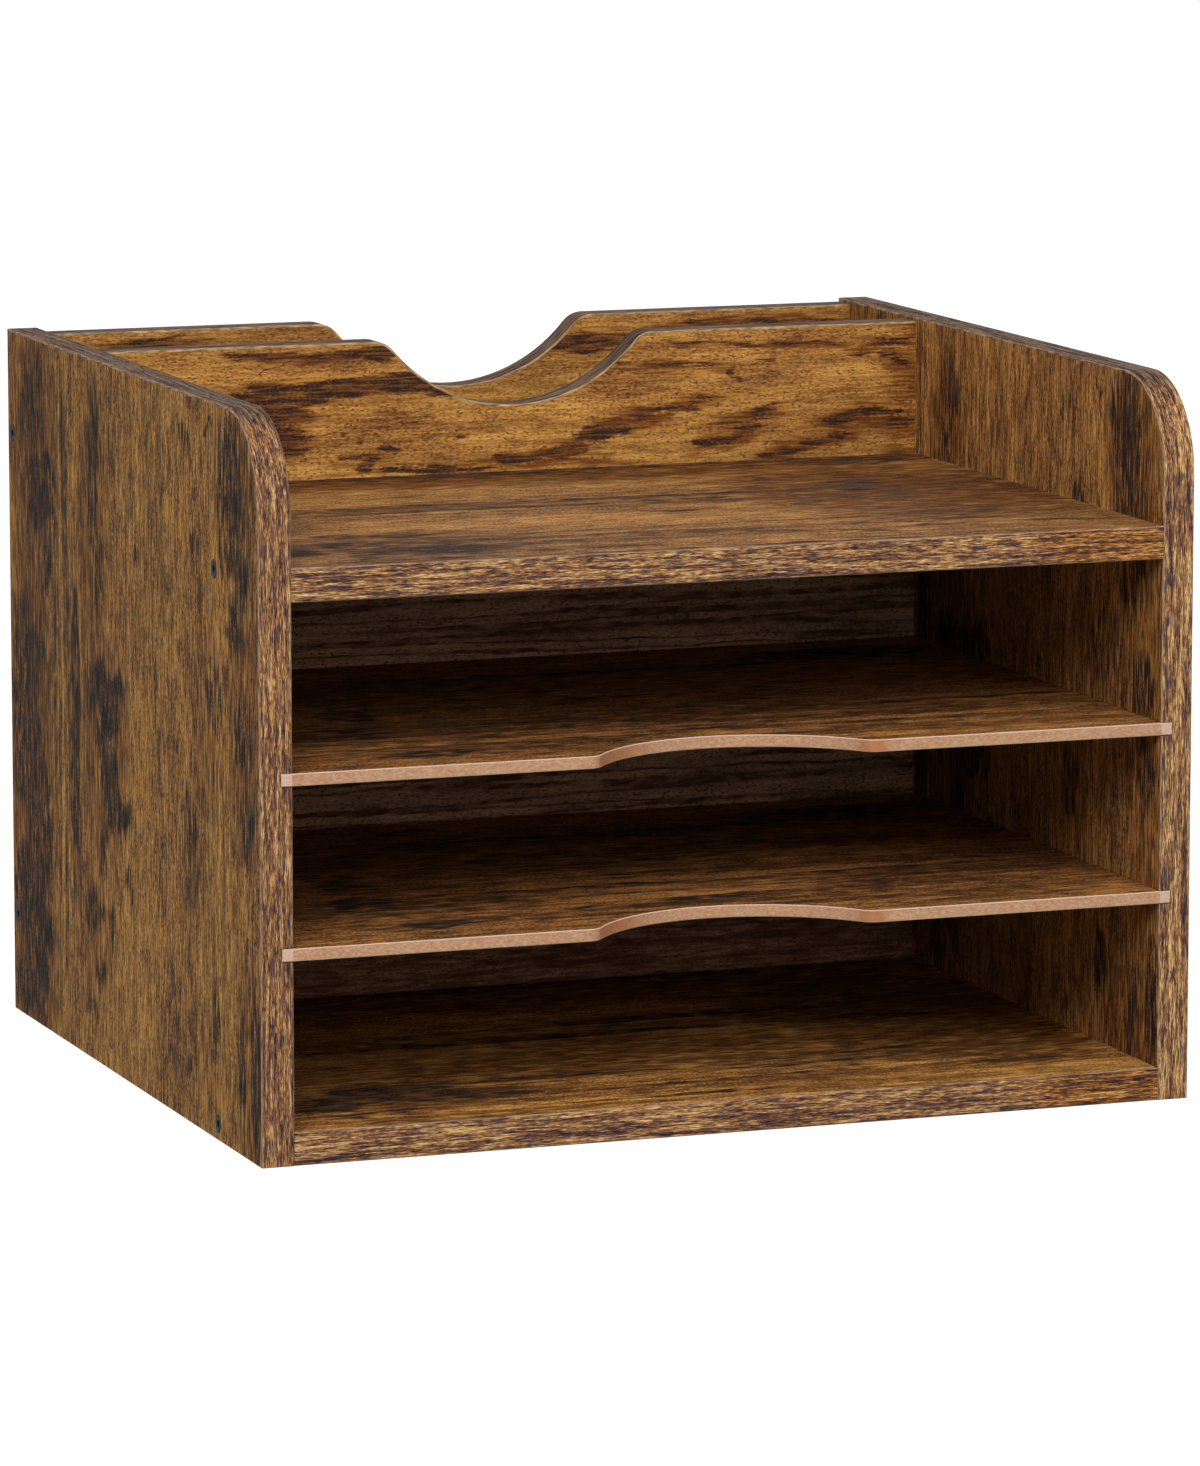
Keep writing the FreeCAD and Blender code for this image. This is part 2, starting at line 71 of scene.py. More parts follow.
class Wire:
    """A socket of a material's node graph that takes part in Python expressions."""

    def __init__(self, graph: "Graph", socket: bpy.types.NodeSocket) -> None:
        """Wrap a socket of a graph."""
        self.graph = graph
        self.socket = socket

    def __add__(self, other: "Value") -> "Wire":
        """Add a value."""
        return self.graph.math("ADD", self, other)

    def __radd__(self, other: float) -> "Wire":
        """Add to a number."""
        return self.graph.math("ADD", other, self)

    def __sub__(self, other: "Value") -> "Wire":
        """Take a value away."""
        return self.graph.math("SUBTRACT", self, other)

    def __rsub__(self, other: float) -> "Wire":
        """Take away from a number."""
        return self.graph.math("SUBTRACT", other, self)

    def __mul__(self, other: "Value") -> "Wire":
        """Multiply by a value."""
        return self.graph.math("MULTIPLY", self, other)

    def __rmul__(self, other: float) -> "Wire":
        """Multiply a number."""
        return self.graph.math("MULTIPLY", other, self)

    def __abs__(self) -> "Wire":
        """Drop the sign."""
        return self.graph.math("ABSOLUTE", self)

    def __lt__(self, other: "Value") -> "Wire":
        """Give 1 where this is below a value, and 0 elsewhere."""
        return self.graph.math("LESS_THAN", self, other)

    def at_least(self, other: "Value") -> "Wire":
        """Take the larger of this and a value."""
        return self.graph.math("MAXIMUM", self, other)

    def rise(self, low: float, high: float, top: float = 1.0) -> "Wire":
        """Rise smoothly from 0 at low to top at high."""
        return self.graph.node(
            "ShaderNodeMapRange",
            {"interpolation_type": "SMOOTHSTEP"},
            {"Value": self, "From Min": low, "From Max": high, "To Max": top},
        )

    def moved(self, shift: Triple) -> "Wire":
        """Shift a vector by fixed amounts."""
        return self.graph.vector("ADD", self, shift)

    def scaled(self, factors: Triple) -> "Wire":
        """Stretch a vector by fixed factors."""
        return self.graph.vector("MULTIPLY", self, factors)


Value = Union[Wire, float]


class Graph:
    """The node graph of one material or of the room's light.

    The numbers are those of the Mix node's sockets, which share their names.
    """

    FACTOR, VECTOR_A, VECTOR_B, COLOUR_A, COLOUR_B = 0, 4, 5, 6, 7
    VECTOR_OUT, COLOUR_OUT = 1, 2

    def __init__(self, owner: Union[bpy.types.Material, bpy.types.World]) -> None:
        """Start an empty graph."""
        owner.use_nodes = True
        self.owner = owner
        self.tree = owner.node_tree
        self.tree.nodes.clear()

    @classmethod
    def for_material(cls, name: str) -> "Graph":
        """Start the graph of a new material."""
        return cls(bpy.data.materials.new(name))

    def node(
        self,
        kind: str,
        settings: Optional[dict[str, Any]] = None,
        inputs: Optional[dict[Union[str, int], Any]] = None,
        output: Union[str, int, None] = 0,
    ) -> Optional[Wire]:
        """Add a node.

        Args:
            kind: The node's type.
            settings: Its properties, set first. "stops" are a colour ramp's places and colours.
            inputs: Values or wires for its sockets, by name or number.
            output: The socket to go on from, or None at the end of the graph.

        Returns:
            The wire that leaves the chosen output.
        """
        made = self.tree.nodes.new(kind)
        for name, setting in (settings or {}).items():
            if name == "stops":
                self.set_stops(made.color_ramp, setting)
            else:
                setattr(made, name, setting)
        for name, given in (inputs or {}).items():
            if isinstance(given, Wire):
                self.tree.links.new(given.socket, made.inputs[name])
            else:
                made.inputs[name].default_value = given
        return None if output is None else Wire(self, made.outputs[output])

    @staticmethod
    def set_stops(ramp: bpy.types.ColorRamp, stops: list[tuple[float, Colour]]) -> None:
        """Give a colour ramp its stops.

        Args:
            ramp: The ramp to fill.
            stops: Places from 0 to 1, in order, with their colours.
        """
        while len(ramp.elements) < len(stops):
            ramp.elements.new(1.0)
        for element, (place, colour) in zip(ramp.elements, stops):
            element.position = place
            element.color = colour

    def math(self, operation: str, *operands: Value) -> Wire:
        """Add a Math node."""
        return self.node("ShaderNodeMath", {"operation": operation}, dict(enumerate(operands)))

    def vector(self, operation: str, *operands: Any, output: str = "Vector") -> Wire:
        """Add a Vector Math node."""
        settings, inputs = {"operation": operation}, dict(enumerate(operands))
        return self.node("ShaderNodeVectorMath", settings, inputs, output)

    def dot(self, place: Wire, along: Triple) -> Wire:
        """Measure a vector along a fixed direction."""
        return self.vector("DOT_PRODUCT", place, along, output="Value")

    def place(self) -> Wire:
        """Give the place on the piece, in metres of the organizer's frame."""
        return self.node("ShaderNodeTexCoord", output="Object")

    def normal(self) -> Wire:
        """Give the direction that the surface faces, in the organizer's frame."""
        return self.node("ShaderNodeTexCoord", output="Normal")

    def noise(self, place: Wire, detail: float, roughness: float, output: str = "Fac") -> Wire:
        """Add smooth noise with one bump to each unit of place."""
        inputs = {"Vector": place, "Scale": 1.0, "Detail": detail, "Roughness": roughness}
        return self.node("ShaderNodeTexNoise", {"noise_dimensions": "3D"}, inputs, output)

    def grain(self, place: Wire, detail: float, roughness: float) -> Wire:
        """Add noise that swings about 0, mostly between -0.5 and 0.5."""
        return (self.noise(place, detail, roughness) - 0.5) * NOISE_SWING

    def mix(self, share: Value, first: Any, second: Any, blend: str = "MIX") -> Wire:
        """Mix two colours, all second where share is 1."""
        settings = {"data_type": "RGBA", "blend_type": blend}
        inputs = {self.FACTOR: share, self.COLOUR_A: first, self.COLOUR_B: second}
        return self.node("ShaderNodeMix", settings, inputs, self.COLOUR_OUT)

    def pick(self, share: Value, first: Wire, second: Wire) -> Wire:
        """Mix two vectors, all second where share is 1."""
        inputs = {self.FACTOR: share, self.VECTOR_A: first, self.VECTOR_B: second}
        return self.node("ShaderNodeMix", {"data_type": "VECTOR"}, inputs, self.VECTOR_OUT)

    def ramp(self, value: Wire, stops: list[tuple[float, Colour]]) -> Wire:
        """Turn a value into a colour."""
        return self.node("ShaderNodeValToRGB", {"stops": stops}, {"Fac": value}, "Color")

    def bump(self, height: Wire, strength: float, depth: float) -> Wire:
        """Turn a height into a bumped normal."""
        inputs = {"Strength": strength, "Distance": depth, "Height": height}
        return self.node("ShaderNodeBump", inputs=inputs, output="Normal")

    def close(self, shader: Wire, kind: str = "ShaderNodeOutputMaterial") -> None:
        """Send a shader to the graph's output."""
        self.node(kind, inputs={"Surface": shader}, output=None)

    def surface(self, **inputs: Any) -> bpy.types.Material:
        """Close the graph with the surface shader.

        Args:
            inputs: Sockets of the shader, with underscores for the spaces in their names.

        Returns:
            The finished material.
        """
        named = {name.replace("_", " "): given for name, given in inputs.items()}
        self.close(self.node("ShaderNodeBsdfPrincipled", inputs=named))
        return self.owner


@dataclass(frozen=True)
class Lay:
    """How a printed sheet lies on a board: along which grain, and which way its shown face looks."""

    grain: Axis
    through: Axis
    looks: int

    @property
    def across(self) -> Axis:
        """The direction in the face across the grain."""
        return next(axis for axis in Axis if axis not in (self.grain, self.through))

    def spread(self, along: float, across: float, through: float) -> Triple:
        """Order three numbers, given by the grain, as right, rear and up."""
        numbers = {self.grain: along, self.across: across, self.through: through}
        return numbers[Axis.RIGHT], numbers[Axis.REAR], numbers[Axis.UP]

    @property
    def face(self) -> Triple:
        """The direction that the shown face looks in."""
        return self.spread(0.0, 0.0, float(self.looks))


@dataclass(frozen=True)
class Mark:
    """A dark feature of the print, or a patch of painted shade, in millimetres of its board's face."""

    along: float
    across: float
    half_length: float
    half_width: float
    depth: float
    tilt: float = 0.0


@dataclass(frozen=True)
class Wood:
    """Colours of the printed wood, from its palest fibres to its darkest grain."""

    pale: Colour
    ochre: Colour
    brown: Colour
    umber: Colour


@dataclass(frozen=True)
class Tones(Wood):
    """Colours of a whole printed sheet: its wood, its singed and burnt patches, and its faint washes,
    some of them painted shade.
    """

    russet: Colour
    burnt: Colour
    wash_and_shade: Colour


@dataclass(frozen=True)
class Print:
    """One rustic print: its colours, how each part of its figure shows, and its own features.

    Lengths and widths are in millimetres, and the other numbers are strengths. The tones below are
    those of the part behind the trays: a greyer copy of the wood that is partly a browner print and
    partly painted shade for the trays. The marks are burnt, though on the level boards a few along the
    rear are painted shade. The washes are broad and faint, and some of them are painted shade. The
    combs are where long grain lines show.
    """

    tones: Tones
    seed: float
    coarse: float = 1.0
    below: Optional[Wood] = None
    column: float = 0.26
    mottle: float = 0.32
    fibre: float = 0.34
    dash: float = 0.32
    dash_length: float = 1.6
    line: float = 0.85
    nick: float = 0.5
    nick_length: float = 6.0
    nick_width: float = 1.2
    nick_rise: float = 0.34
    thread: float = 5.0
    thread_reach: float = 0.22
    rag: float = 0.6
    stipple: float = 0.6
    scratch: float = 0.4
    char: tuple[float, float] = (0.28, 0.60)
    cloud: float = 0.0
    russet: float = 0.7
    halo: float = 1.0
    marks: tuple[Mark, ...] = ()
    washes_and_shade: tuple[Mark, ...] = ()
    combs: tuple[Mark, ...] = ()


@dataclass(frozen=True)
class Laminate:
    """Fibre board with a printed sheet on both faces, raw where it is cut."""

    name: str
    lay: Lay
    sheet: Print
    middle: Triple
    thickness: float

    # Noise: bumps to a metre through the board, how far each seed moves it, and how its drift runs
    THROUGH_SCALE = 40.0
    SEED_STEP = (0.731, 1.173, 0.317)
    NICK_SHIFT = (0.37, 0.37, 0.37)
    DRIFT_SCALE = (40, 150, 40)
    DRIFT_RAGGED = (0.026, 0.008, 0)
    DRIFT_SWAYED = (0.016, 0.0035, 0)
    # A mark's outline, from nothing to full depth, in half lengths and half widths
    OUTLINE = (1.4, 0.5)
    # Heights over which the print behind the deck turns into the greyer one behind the trays, which is
    # partly painted shade
    TRAY_BACK = (0.206, 0.200)
    # How far below the face the print ends and the raw board begins
    SKIN, SKIN_END = 0.0002, 0.0006
    CORE_SCALE = (900, 900, 900)
    CORE_DARK, CORE_PALE = paint(140, 102, 72), paint(176, 138, 104)
    IOR = 1.10
    RELIEF_STRENGTH, RELIEF_DEPTH = 0.35, 0.00022

    @classmethod
    def on_board(cls, name: str, node: str, lay: Lay, sheet: "Sheets") -> "Laminate":
        """Fit a print to a board.

        Args:
            name: The material's name.
            node: The board's name.
            lay: How the print lies on the board.
            sheet: The print.

        Returns:
            The board's finish.
        """
        low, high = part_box(node)
        return cls(name, lay, sheet.value, tuple((low + high) / 2), (high - low)[lay.through])

    def weave(
        self, graph: Graph, spot: Wire, length: float, width: float, detail: float, roughness: float
    ) -> Wire:
        """Draw noise stretched along the grain.

        Args:
            graph: The material's graph.
            spot: The place on the sheet.
            length: How long its bumps are, in millimetres.
            width: How wide they are, in millimetres.
            detail: How many finer layers it has.
            roughness: How strong the finer layers are.

        Returns:
            A value that swings about 0, mostly between -0.5 and 0.5.
        """
        stretch = self.lay.spread(1 / (length * MM), 1 / (width * MM), self.THROUGH_SCALE)
        return graph.grain(spot.scaled(stretch), detail, roughness)

    def lay_out(self, graph: Graph, place: Wire, facing: Wire) -> tuple[Wire, Wire, Wire]:
        """Find the place on the print, which is turned round on the reverse.

        Args:
            graph: The material's graph.
            place: The place on the board.
            facing: 1 on the shown face and -1 on the reverse.

        Returns:
            The place pushed about so that outlines come out ragged, the place moved by the print's
            seed, and the latter swayed so that the grain wavers.
        """
        lay, seed = self.lay, self.sheet.seed
        flip = lay.spread(-1.0, -1.0, 1.0)
        pivot = tuple(2 * part if turn < 0 else 0.0 for part, turn in zip(self.middle, flip))
        spot = graph.pick(facing < 0, place, place.scaled(flip).moved(pivot))
        sown = spot.moved(tuple(seed * step for step in self.SEED_STEP))
        drift = graph.noise(sown.scaled(lay.spread(*self.DRIFT_SCALE)), 3, 0.65, "Color")
        drift = drift.moved((-0.5, -0.5, -0.5))
        ragged = graph.vector("ADD", spot, drift.scaled(lay.spread(*self.DRIFT_RAGGED)))
        swayed = graph.vector("ADD", sown, drift.scaled(lay.spread(*self.DRIFT_SWAYED)))
        return ragged, sown, swayed

    def figure(self, graph: Graph, place: Wire, facing: Wire) -> tuple[Wire, Wire, Wire]:
        """Draw the print.

        Args:
            graph: The material's graph.
            place: The place on the board.
            facing: 1 on the shown face and -1 on the reverse.

        Returns:
            The colour, the height for the bump and the darkness of the burnt patches.
        """
        sheet, tones, wide = self.sheet, self.sheet.tones, self.sheet.coarse
        ragged, sown, swayed = self.lay_out(graph, place, facing)
        column = self.weave(graph, sown, 450, 40, 1, 0.5)
        mottle = self.weave(graph, swayed, 36, 8 * wide, 2, 0.6)
        fibre = self.weave(graph, sown, 12, wide, 1, 0.6).rise(-0.4, 0.4) - 0.5
        dash = self.weave(graph, sown, sheet.dash_length, 0.6 * wide, 1, 0.6)
        rag = self.weave(graph, swayed, 10, 2.6 * wide, 2, 0.7)
        nicked = sown.moved(self.NICK_SHIFT)
        nick = self.weave(graph, nicked, sheet.nick_length, sheet.nick_width, 0, 0.5)
        nick = nick.rise(sheet.nick_rise, 0.56)
        thread = abs(self.weave(graph, swayed, 240, sheet.thread, 1, 0.5))
        thread = thread.rise(sheet.thread_reach, 0.05)

        # Wood
        tone = 0.50 - column * sheet.column + mottle * sheet.mottle
        tone = tone + fibre * sheet.fibre + dash * sheet.dash
        colour = self.shade(graph, tone, tones)
        # Behind the trays the wood turns greyer: partly a browner print, partly painted shade for the
        # trays
        if sheet.below:
            behind = graph.dot(place, UP).rise(*self.TRAY_BACK)
            colour = graph.mix(behind, colour, self.shade(graph, tone, sheet.below))

        # Washes, some of them painted shade, and grain lines
        fray = rag * sheet.rag + dash * sheet.stipple - fibre * 0.7
        wash_and_shade = self.gather(graph, ragged, sheet.washes_and_shade) * (1.0 + fray)
        colour = graph.mix(wash_and_shade.rise(0.05, 0.95), colour, tones.wash_and_shade, "MULTIPLY")
        comb = self.gather(graph, ragged, sheet.combs)
        veins = ((comb + 0.35) * thread * (0.75 + rag) * sheet.line).at_least(nick * sheet.nick)
        colour = graph.mix(veins, colour, tones.umber)

        # Singed and burnt patches, and the marks that are painted shade
        stain_and_shade = self.gather(graph, ragged, sheet.marks)
        if sheet.cloud:
            cloud = self.weave(graph, swayed, 90, 24, 2, 0.6)
            stain_and_shade = stain_and_shade.at_least(cloud.rise(0.10, 0.75, sheet.cloud))
        torn = fray * stain_and_shade.rise(0.0, 0.4)
        singed = (stain_and_shade + torn * sheet.halo).rise(0.05, 0.50, sheet.russet)
        colour = graph.mix(singed, colour, tones.russet)
        scratch = (dash + fibre * 0.6).rise(-0.2, 0.5)
        burnt = (stain_and_shade + torn).rise(*sheet.char) * (1.0 - scratch * sheet.scratch)
        colour = graph.mix(burnt, colour, tones.burnt)
        return colour, fibre - nick * 0.6, burnt

    @staticmethod
    def shade(graph: Graph, tone: Wire, wood: Wood) -> Wire:
        """Turn a tone from 0 to 1 into the colours of the wood."""
        stops = [(0.06, wood.umber), (0.34, wood.brown), (0.60, wood.ochre), (0.94, wood.pale)]
        return graph.ramp(tone, stops)

    def gather(self, graph: Graph, ragged: Wire, marks: tuple[Mark, ...]) -> Value:
        """Lay all the marks of one kind on the print.

        Args:
            graph: The material's graph.
            ragged: The place on the board, pushed about so that outlines come out ragged.
            marks: The marks.

        Returns:
            The depth of the deepest mark at each place, falling to 0 round its outline.
        """
        depth: Value = 0.0
        for mark in marks:
            depth = self.blot(graph, ragged, mark).at_least(depth)
        return depth

    def blot(self, graph: Graph, ragged: Wire, mark: Mark) -> Wire:
        """Lay one mark on the print.

        Args:
            graph: The material's graph.
            ragged: The place on the board, pushed about so that outlines come out ragged.
            mark: The mark.

        Returns:
            The mark's depth, falling to 0 round its outline.
        """
        lay, endless = self.lay, 1000.0
        centre = lay.spread(mark.along * MM, mark.across * MM, 0.0)
        reach = lay.spread(mark.half_length * MM, mark.half_width * MM, endless)
        sign = -1.0 if (lay.across - lay.grain) % len(Axis) == 2 else 1.0
        turn = lay.spread(0.0, 0.0, math.radians(mark.tilt) * sign)
        local = graph.node(
            "ShaderNodeMapping",
            {"vector_type": "TEXTURE"},
            {"Vector": ragged, "Location": centre, "Rotation": turn, "Scale": reach},
        )
        return graph.vector("LENGTH", local, output="Value").rise(*self.OUTLINE, mark.depth)

    def core(self, graph: Graph, place: Wire, facing: Wire) -> tuple[Wire, Wire]:
        """Draw the raw board, which shows on cut edges and inside grooves and holes.

        Args:
            graph: The material's graph.
            place: The place on the board.
            facing: 1 on the shown face and -1 on the reverse.

        Returns:
            1 where the board is raw, and its colour there.
        """
        level = graph.dot(place, self.lay.spread(0.0, 0.0, 1.0)) - self.middle[self.lay.through]
        half = self.thickness / 2
        sunk = abs(level).rise(half - self.SKIN, half - self.SKIN_END)
        cut = (1.0 - abs(facing).rise(0.6, 0.8)).at_least(sunk)
        crumb = graph.noise(place.scaled(self.CORE_SCALE), 4, 0.7)
        return cut, graph.mix(crumb, self.CORE_DARK, self.CORE_PALE)

    def material(self) -> bpy.types.Material:
        """Make the board's material.

        Returns:
            The material.
        """
        graph = Graph.for_material(self.name)
        place = graph.place()
        facing = graph.dot(graph.normal(), self.lay.face)
        colour, height, burnt = self.figure(graph, place, facing)
        cut, raw = self.core(graph, place, facing)
        return graph.surface(
            Base_Color=graph.mix(cut, colour, raw),
            Roughness=0.60 + burnt * 0.1 + cut * 0.2,
            IOR=self.IOR,
            Normal=graph.bump(height, self.RELIEF_STRENGTH, self.RELIEF_DEPTH),
        )


@dataclass(frozen=True)
class ShelfBoard(Laminate):
    """Thin laminated board whose pale raw edges show, toasted where the cutter turned."""

    EDGE_SCALE = (700, 700, 1500)
    EDGE_STOPS = [
        (0.33, paint(176, 125, 89)),
        (0.50, paint(191, 147, 113)),
        (0.67, paint(207, 172, 142)),
    ]
    # Where each toasted stretch of the finger notch begins and ends, each with its softness
    TOASTS = (((-0.052, 0.003), (-0.030, 0.012)), ((0.049, 0.002), (0.058, 0.002)))
    TOAST = paint(178, 112, 70)
    # Where the shelf's ends leave the tray and enter the grooves
    TONGUE, TONGUE_FULL = 0.1655, 0.1657
    # Painted highlight: a pale glow where the ends sit in the grooves, and pale lines along the arrises
    TONGUE_HIGHLIGHT = paint(230, 204, 188)
    ARRIS_HIGHLIGHT = paint(228, 202, 186)

    def core(self, graph: Graph, place: Wire, facing: Wire) -> tuple[Wire, Wire]:
        """Draw the raw edges.

        Args:
            graph: The material's graph.
            place: The place on the shelf.
            facing: 1 on the shown face and -1 on the reverse.

        Returns:
            1 where the shelf is raw, and its colour there.
        """
        flat, across = abs(facing), graph.dot(place, RIGHT)
        crumb = graph.noise(place.scaled(self.EDGE_SCALE), 4, 0.75)
        raw = graph.ramp(crumb, self.EDGE_STOPS)
        left, right = (self.stretch(across, *ends) for ends in self.TOASTS)
        raw = graph.mix(left.at_least(right) * (0.45 + crumb * 0.5), raw, self.TOAST)
        # Painted highlight on the ends in the grooves and along the arrises
        tongue = abs(across).rise(self.TONGUE, self.TONGUE_FULL)
        raw = graph.mix(tongue * 0.5, raw, self.TONGUE_HIGHLIGHT)
        raw = graph.mix(flat.rise(0.3, 0.6) * 0.8, raw, self.ARRIS_HIGHLIGHT)
        return 1.0 - flat.rise(0.85, 0.95), raw

    @staticmethod
    def stretch(across: Wire, start: tuple[float, float], end: tuple[float, float]) -> Wire:
        """Mark a stretch of the front edge.

        Args:
            across: The place along the edge.
            start: Where the stretch begins, and how softly.
            end: Where it ends, and how softly.

        Returns:
            1 on the stretch and 0 elsewhere.
        """
        (first, first_soft), (last, last_soft) = start, end
        begun = (across - first).rise(-first_soft, first_soft)
        over = (across - last).rise(-last_soft, last_soft)
        return begun * (1.0 - over)


@dataclass(frozen=True)
class Trim:
    """How a band's top and its trimmed arrises look.

    The crown is how far up a face looks where the painted sheen begins to turn it grey-brown, and where
    it is all so.
    """

    crown: tuple[float, float]
    worn_dark: Colour
    worn_pale: Colour


class Trims(Enum):
    """The trims of the bands: on a square edge, or along a scoop."""

    SQUARE = Trim((0.80, 0.99), paint(112, 86, 70), paint(190, 158, 128))
    SCOOPED = Trim((0.10, 0.30), paint(122, 94, 68), paint(216, 182, 134))


@dataclass(frozen=True)
class Banding:
    """Edge banding printed with short dashes, grey-brown on top and pale where its arris is trimmed.

    Its grey-brown top is painted sheen. A lift makes it paler, and it can be warmer from some place on.
    """

    along: Triple
    across: Triple
    trim: Trims = Trims.SQUARE
    lift: float = 0.0
    warm_from: Optional[float] = None

    # Bumps to a metre along and across the band
    DASH_SCALE = (190, 3000, 1)
    FLECK_SCALE, FLECK_SHIFT = (520, 2700, 1), (4.0, 9.0, 0.0)
    STRAND_SCALE, STRAND_SHIFT = (30, 750, 1), (2.0, 5.0, 0.0)
    SPILL_SCALE, SPILL_SHIFT = (110, 620, 1), (7.0, 3.0, 0.0)
    STOPS = [
        (0.06, paint(50, 38, 46)),
        (0.30, paint(98, 67, 57)),
        (0.52, paint(150, 104, 67)),
        (0.72, paint(194, 147, 93)),
        (0.97, paint(232, 197, 138)),
    ]
    INK = paint(58, 54, 66)
    WARM, WARM_SOFT = paint(246, 228, 199), 0.012
    # Painted sheen: the grey-brown given to upward faces in place of a sheen
    CROWN_DARK, CROWN_PALE = paint(38, 30, 28), paint(150, 120, 96)
    IOR = 1.07
    RELIEF_STRENGTH, RELIEF_DEPTH = 0.4, 0.00025

    def material(self, name: str, seed: float) -> bpy.types.Material:
        """Make the banding's material.

        Args:
            name: The material's name.
            seed: A number that gives the band dashes of its own.

        Returns:
            The material.
        """
        graph, trim = Graph.for_material(name), self.trim.value
        place, normal = graph.place(), graph.normal()
        run, width = graph.dot(place, self.along), graph.dot(place, self.across)
        spot = graph.node("ShaderNodeCombineXYZ", inputs={"X": run, "Y": width, "Z": seed})
        dash = graph.grain(spot.scaled(self.DASH_SCALE), 1, 0.6)
        fleck = graph.grain(spot.scaled(self.FLECK_SCALE).moved(self.FLECK_SHIFT), 1, 0.6)
        strand = graph.grain(spot.scaled(self.STRAND_SCALE).moved(self.STRAND_SHIFT), 2, 0.6)
        spill = graph.grain(spot.scaled(self.SPILL_SCALE).moved(self.SPILL_SHIFT), 2, 0.7)
        tone = 0.49 + self.lift + dash * 0.66 + fleck * 0.44 + strand * 0.54
        colour = graph.ramp(tone, self.STOPS)
        colour = graph.mix((spill + fleck * 0.5).rise(0.14, 0.44) * 0.85, colour, self.INK)
        if self.warm_from is not None:
            beyond = run + strand * 0.03 - self.warm_from
            warmth = beyond.rise(-self.WARM_SOFT, self.WARM_SOFT)
            colour = graph.mix(warmth, colour, self.WARM, "MULTIPLY")
        # Painted sheen: upward faces turn grey-brown
        sheen_grey = graph.mix(0.42 + strand * 1.2 + dash * 0.9, self.CROWN_DARK, self.CROWN_PALE)
        colour = graph.mix(graph.dot(normal, UP).rise(*trim.crown), colour, sheen_grey)
        arris = abs(graph.dot(normal, self.across)).rise(0.3, 0.6)
        worn = graph.mix(0.5 + dash, trim.worn_dark, trim.worn_pale)
        return graph.surface(
            Base_Color=graph.mix(arris * 0.85, colour, worn),
            Roughness=0.60 - dash * 0.12,
            IOR=self.IOR,
            Normal=graph.bump(dash, self.RELIEF_STRENGTH, self.RELIEF_DEPTH),
        )


@dataclass(frozen=True)
class BlackSteel:
    """Dull black oxide on a screw."""

    name: str = "black_oxide_steel"

    def material(self) -> bpy.types.Material:
        """Make the screws' material."""
        graph = Graph.for_material(self.name)
        smut = graph.noise(graph.place().scaled((1400, 1400, 1400)), 4, 0.65)
        return graph.surface(
            Base_Color=graph.mix(smut, paint(8, 8, 9), paint(26, 27, 28)),
            IOR=1.2,
            Roughness=0.45 + smut * 0.25,
            Normal=graph.bump(smut, 0.2, 0.0001),
        )


@dataclass(frozen=True)
class Beech:
    """Raw turned beech of a dowel, its grain along its length."""

    name: str = "raw_beech"

    def material(self) -> bpy.types.Material:
        """Make the dowels' material."""
        graph = Graph.for_material(self.name)
        place = graph.place()
        grain = graph.noise(place.scaled((70, 1100, 1100)), 4, 0.6)
        fleck = graph.noise(place.scaled((260, 1700, 1700)), 2, 0.5).rise(0.6, 0.72)
        wood = graph.mix(grain, paint(186, 142, 98), paint(226, 190, 146))
        return graph.surface(
            Base_Color=graph.mix(fleck * 0.5, wood, paint(150, 102, 66)),
            Roughness=0.62 + grain * 0.15,
            Normal=graph.bump(grain, 0.3, 0.0002),
        )


